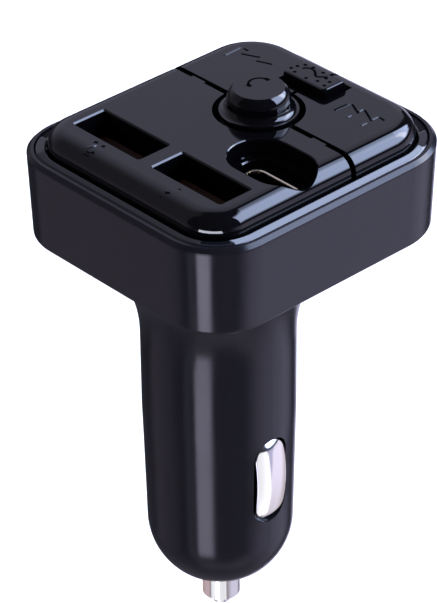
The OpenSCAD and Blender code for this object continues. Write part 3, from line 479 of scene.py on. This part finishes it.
# Rolled lip of the USB-C shell: sloped inward, so that its far side catches the light. Its pale colour,
# lighter than the shell's plating, is a painted highlight
lip = {"inset": 0.14, "wide": 0.1, "inner": 0.08, "outer": 0.01}
middle = (socket[0] + socket[1]) / 2 / mm
reach = (socket[1] - socket[0]) / 2 / mm
lipR, lipHalf = reach.y - lip["inset"], reach.x - lip["inset"]
loop = [(middle.x, middle.y - lipR)]
loop += arc(middle.x + lipHalf - lipR, middle.y, lipR, range(-90, 91, 15))
loop += arc(middle.x - lipHalf + lipR, middle.y, lipR, range(90, 271, 15))
lipSection = [(lip["wide"], seat["sunk"]), (lip["wide"], lip["outer"]), (-lip["wide"], lip["inner"]),
              (-lip["wide"], seat["sunk"])]
shellLip = stroke("socketLip", [loop + loop[:1]], lipSection, flat("usb_c_shell"), "unit",
                  mottled("lipPaintedHighlight", "#eadcc0", "#f2e6cf", 0.15, 1.0, 1.0))

# The ledge round it is chamfered: its left end glints along two lines
ledge = {"glints": ((3.2, range(152, 190, 6)), (4.24, range(156, 176, 6))), "wide": 0.1, "height": 0.14}
glints = [arc(middle.x - recess["half"], middle.y, radius, degrees) for radius, degrees in ledge["glints"]]
stroke("ledgeEdge", glints, [(ledge["wide"], seat["sunk"]), (-ledge["wide"], ledge["height"]),
                             (-ledge["wide"], seat["sunk"])],
       lambda x, y: face["top"] - recess["ledge"], "unit", gloss)

# Side contacts: a pressed leaf, bowed along its length and rounded off at both ends, on a bent arm. The arm's
# two straps are outlines of (out, up) in millimetres, as wide as armHalf to either side
leaf = {"out": 10.95, "mid": -17.35, "half": 6.35, "wide": 2.6, "sheet": 0.4, "bowR": 24, "crownR": 5.2,
        "endFrom": 4.8, "endR": 2.7, "rows": 56, "columns": 24, "trim": 0.01, "armHalf": 1.5}
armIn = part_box("side_contact_right")[0].x / mm
armOut = armIn + leaf["sheet"]
straps = [[(armIn, -4.6), (armOut, -4.6), (armOut, -11.85), (10.4, -13.75), (10.4, -14.15),
           (10.2, -14.15), (armIn, -12.25)],
          [(armIn, -25.25), (armOut, -25.25), (armOut, -22.85), (10.4, -20.95), (10.4, -20.55),
           (10.2, -20.55), (armIn, -22.45)]]


# How far an arc of some radius has dropped at a distance from its top
def drop(radius, away):
    return radius - math.sqrt(radius ** 2 - away ** 2)


# How far out the leaf's face stands: bowed, bent in past the start of its ends, and crowned across
def leafFace(y, z):
    past = max(0.0, abs(z) - leaf["endFrom"])
    return leaf["out"] - drop(leaf["bowR"], z) - drop(leaf["endR"], past) - drop(leaf["crownR"], y)


def sideContact(name, node, side, body):
    points, faces = [], []
    rows, columns = leaf["rows"], leaf["columns"]
    for depth in (0.0, leaf["sheet"]):
        for i in range(rows + 1):
            z = (leaf["half"] - leaf["trim"]) * math.sin(math.pi * (i / rows - 0.5))
            into = max(0.0, abs(z) - leaf["half"] + leaf["wide"])
            wide = math.sqrt(leaf["wide"] ** 2 - into ** 2)
            for j in range(columns + 1):
                y = wide * (2 * j / columns - 1)
                points.append((side * (leafFace(y, z) - depth) * mm, y * mm, (leaf["mid"] + z) * mm))
    across, sheet = columns + 1, (rows + 1) * (columns + 1)
    for i in range(rows):
        for j in range(columns):
            a = i * across + j
            faces += [(a, a + 1, a + 1 + across, a + across),
                      (a + sheet, a + across + sheet, a + 1 + across + sheet, a + 1 + sheet)]
    border = ([j for j in range(columns)] + [i * across + columns for i in range(rows)]
              + [rows * across + j for j in range(columns, 0, -1)] + [i * across for i in range(rows, 0, -1)])
    for a, b in zip(border, border[1:] + border[:1]):
        faces.append((a, a + sheet, b + sheet, b))
    for strap in straps:
        start, count = len(points), len(strap)
        for y in (-leaf["armHalf"], leaf["armHalf"]):
            points += [(side * x * mm, y * mm, z * mm) for x, z in strap]
        faces += band(start, count) + caps(start, len(points), count)
    piece = finishPiece(name, points, faces, body, nickel)
    for part in piece.data.polygons:
        part.use_smooth = part.index < 2 * rows * columns
    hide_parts(node)
    return piece


contacts = [sideContact("leafRight", "side_contact_right", 1, "right_contact"),
            sideContact("leafLeft", "side_contact_left", -1, "left_contact")]

# Tip spring: a coil over the length of the tip spring, standing on its seat
springLow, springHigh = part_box("tip_spring")
coil = {"wire": 0.3, "turns": 6, "steps": 20, "sides": 8,
        "long": (springHigh.z - springLow.z) / mm, "travel": 2.4}
coilR = (springHigh.x - springLow.x) / 2 / mm - coil["wire"]
points, faces = [], []
last = coil["turns"] * coil["steps"]
for i in range(last + 1):
    turned = 2 * math.pi * i / coil["steps"]
    height = coil["wire"] + (coil["long"] - 2 * coil["wire"]) * i / last
    for k in range(coil["sides"]):
        a = 2 * math.pi * k / coil["sides"]
        out = (coilR + coil["wire"] * math.cos(a)) * mm
        points.append((out * math.cos(turned), out * math.sin(turned),
                       springLow.z + (height + coil["wire"] * math.sin(a)) * mm))
for i in range(last):
    faces += band(i * coil["sides"], coil["sides"])
faces += caps(0, len(points), coil["sides"])
spring = finishPiece("tipCoil", points, faces, "unit",
                     mottled("springWire", "#8f9094", "#a3a4a8", 0.25, 1.5, 1.0))
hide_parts("tip_spring")
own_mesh(spring)

# Marks by the ports: a folded sheet for files, and a spark for charging, in painted shade; the fold is a
# wedge that catches the light
marks = {
    "fileLine": 0.5, "sparkLine": 0.34,
    "file": [[(-8.3, -14.9), (-7.7, -15.35), (-6.9, -15.3), (-6.5, -14.8)], [(-8.35, -13.25), (-7.85, -13.0)],
             [(-6.9, -13.25), (-6.5, -13.0)]],
    "fold": [[(-7.75, -14.85), (-7.3, -14.1), (-7.35, -13.6)]],
    "spark": [[(6.7, -15.6), (6.85, -14.85), (7.4, -14.65), (7.75, -13.1)]],
}
stroke("fileMark", marks["file"], flatStroke(marks["fileLine"]), faceHeight, "unit", sunk)
stroke("fileFold", marks["fold"], wedge, faceHeight, "unit", gloss)
stroke("sparkMark", marks["spark"], flatStroke(marks["sparkLine"]), faceHeight, "unit", sunk)
print("glyphs, contacts and spring done")


# White paper under everything: matt, and bright enough to run out into the white round it
paper = {"colour": "#e9e9ea", "glow": 0.3, "z": -0.12, "half": 3}
paperLook, tree, out, _ = newMaterial("whitePaper")
matt = addNode(tree, "ShaderNodeBsdfDiffuse", None, {"Color": linear(paper["colour"])})
glow = addNode(tree, "ShaderNodeEmission", None, {"Color": (1, 1, 1, 1), "Strength": paper["glow"]})
both = addNode(tree, "ShaderNodeAddShader", None, {0: matt.outputs[0], 1: glow.outputs[0]})
mix = addNode(tree, "ShaderNodeMixShader", None,
              {0: seenStraight(tree), 1: matt.outputs[0], 2: both.outputs[0]})
tree.links.new(mix.outputs[0], out.inputs["Surface"])
sheet = bpy.data.meshes.new("paperFloor")
corners = [(x * paper["half"], y * paper["half"], 0) for x, y in ((-1, -1), (1, -1), (1, 1), (-1, 1))]
sheet.from_pydata(corners, [], [(0, 1, 2, 3)])
sheet.materials.append(paperLook)
floor = addObject("paperFloor", sheet)
floor.location = (0, 0, paper["z"])
floor.visible_glossy = False

# The studio as the gloss sees it: paper, soft boxes and dark flags, each a patch of the world. Edges are
# degrees of azimuth and elevation: outside the outer two it is absent, between the inner two it is full.
# In order: paper low in front, on the right, past the far right corner and on the left, dimmer paper in front
# and a pale edge at its left. Then the strip light that draws a line down the corner and the plug, dim sky
# behind and paler sky at the far right. Last the window's dark frame, the window, its bright core and a flag
studio = [
    {"azimuth": (-100, -80, 0, 30), "elevation": (-80, -66, -52, -42), "level": (0.33, 0.30, 0.38)},
    {"azimuth": (-12, 30, 66, 100), "elevation": (-76, -26, -2, 3), "level": (0.72, 0.69, 0.95)},
    {"azimuth": (108, 118, 132, 140), "elevation": (-60, -50, -6, 0), "level": (0.75, 0.72, 1.0)},
    {"azimuth": (-172, -148, -125, -96), "elevation": (-60, -34, 0, 3), "level": (0.23, 0.20, 0.26)},
    {"azimuth": (-52, -46, -20, 0), "elevation": (-62, -48, -15, -8), "level": (0.12, 0.11, 0.17)},
    {"azimuth": (-100, -92, -86, -84), "elevation": (-55, -45, -14, -10), "level": (0.30, 0.30, 0.42)},
    {"azimuth": (-79, -78, -58, -50), "elevation": (-49, -42, -22, -12), "level": (3.05, 2.85, 3.8)},
    {"azimuth": (150, 165, 236, 242), "elevation": (-6, 0, 60, 75), "level": (0.17, 0.16, 0.19)},
    {"azimuth": (110, 118, 150, 215), "elevation": (2, 10, 60, 72), "level": (0.49, 0.49, 0.65)},
    {"azimuth": (15, 16, 104, 106), "elevation": (2, 3, 63, 64), "level": (0.02, 0.02, 0.025)},
    {"azimuth": (21, 22, 92, 97), "elevation": (8, 20, 46, 58), "level": (5.8, 6.9, 10.2)},
    {"azimuth": (56, 62, 70, 80), "elevation": (10, 18, 38, 46), "level": (10.5, 11.5, 14.5)},
    {"azimuth": (84, 90, 119, 120), "elevation": (2, 3, 14, 22), "level": (0.02, 0.02, 0.025)},
]
base = (0.035, 0.035, 0.045, 1.0)
under = {"below": -66, "fade": 34, "level": (0.15, 0.14, 0.18, 1.0)}
# What matt surfaces get from all round, and what the camera sees behind the part
ambient = {"matt": (0.8, 0.8, 0.86, 1.0), "behind": (1, 1, 1, 1)}

world = bpy.data.worlds.new("studio")
bpy.context.scene.world = world
world.use_nodes = True
tree = world.node_tree
tree.nodes.clear()
out = addNode(tree, "ShaderNodeOutputWorld")
toward = addNode(tree, "ShaderNodeTexCoord").outputs["Generated"]
rise = addNode(tree, "ShaderNodeMath", {"operation": "ARCSINE"}, {0: axes(tree, toward)["Z"]}).outputs[0]
fade = [math.radians(e) for e in (under["below"] + under["fade"], under["below"])]
painted = blend(tree, remap(tree, rise, fade, (0.0, 1.0)), base, under["level"])
for patch in studio:
    centre = sum(patch["azimuth"]) / 4
    spun = addNode(tree, "ShaderNodeVectorRotate", {"rotation_type": "Z_AXIS"},
                   {"Vector": toward, "Angle": -math.radians(centre)}).outputs[0]
    split = axes(tree, spun)
    swing = addNode(tree, "ShaderNodeMath", {"operation": "ARCTAN2"}, {0: split["Y"], 1: split["X"]})
    inside = cover(tree, [(swing.outputs[0], [math.radians(a - centre) for a in patch["azimuth"]]),
                          (rise, [math.radians(e) for e in patch["elevation"]])])
    painted = blend(tree, inside, painted, (*patch["level"], 1.0))
lit = blend(tree, addNode(tree, "ShaderNodeLightPath").outputs["Is Diffuse Ray"], painted, ambient["matt"])
shown = blend(tree, seenStraight(tree), lit, ambient["behind"])
light = addNode(tree, "ShaderNodeBackground", None, {"Color": shown, "Strength": 1.0})
tree.links.new(light.outputs[0], out.inputs["Surface"])


# A soft box, aimed at the object, at degrees round and up and at metres away, with its size in metres. One
# with a set of objects lights only those, and they show it
def softbox(name, azimuth, elevation, distance, size, radiance, colour, onlyFor=None):
    box = bpy.data.lights.new(name, "AREA")
    box.shape = "RECTANGLE"
    box.size, box.size_y = size
    box.energy = radiance * math.pi * size[0] * size[1]
    box.color = colour
    body = addObject(name, box)
    a, e = math.radians(azimuth), math.radians(elevation)
    body.location = Vector((math.cos(a) * math.cos(e), math.sin(a) * math.cos(e), math.sin(e))) * distance
    body.rotation_euler = (-body.location).to_track_quat("-Z", "Y").to_euler()
    body.visible_camera = False
    body.visible_glossy = onlyFor is not None
    if onlyFor:
        body.light_linking.receiver_collection = onlyFor


def group(name, *members):
    collection = bpy.data.collections.new(name)
    for member in members:
        collection.objects.link(member)
    return collection


softbox("keyBox", 54, 43, 0.6, (0.5, 0.25), 3.0, (0.9, 0.95, 1.0))
# White paper close round the bright metal: in front, on the right and on the left, with dark gaps between
leaves = group("brightLeaves", *contacts)
softbox("leafFront", -8, -34, 1.5, (1.55, 2.2), 1.3, (1.0, 0.98, 0.98), leaves)
softbox("leafSide", 76, -34, 1.5, (2.5, 2.2), 0.62, (1.0, 0.88, 0.87), leaves)
softbox("leafBehind", -150, -30, 1.5, (2.4, 2.6), 0.7, (1.0, 0.9, 0.9), leaves)
metal = group("brightMetal", nodes["tip_contact"])
softbox("paperFront", -60, -30, 1.5, (2.3, 2.6), 1.15, (1.0, 0.98, 0.98), metal)
softbox("paperRight", 41, -30, 1.5, (2.8, 2.6), 0.35, (1.0, 0.86, 0.86), metal)
softbox("paperLeft", -165, -30, 1.5, (2.4, 2.6), 0.55, (1.0, 0.72, 0.68), metal)
# A small card that only the port plate's corner shows
corner = group("plateCorner", nodes["face_plate"])
softbox("cornerCard", -57, -24, 0.8, (0.9, 0.6), 12.0, (0.84, 0.88, 1.0), corner)
bpy.context.scene.view_settings.view_transform = "Standard"
print("stage lit")
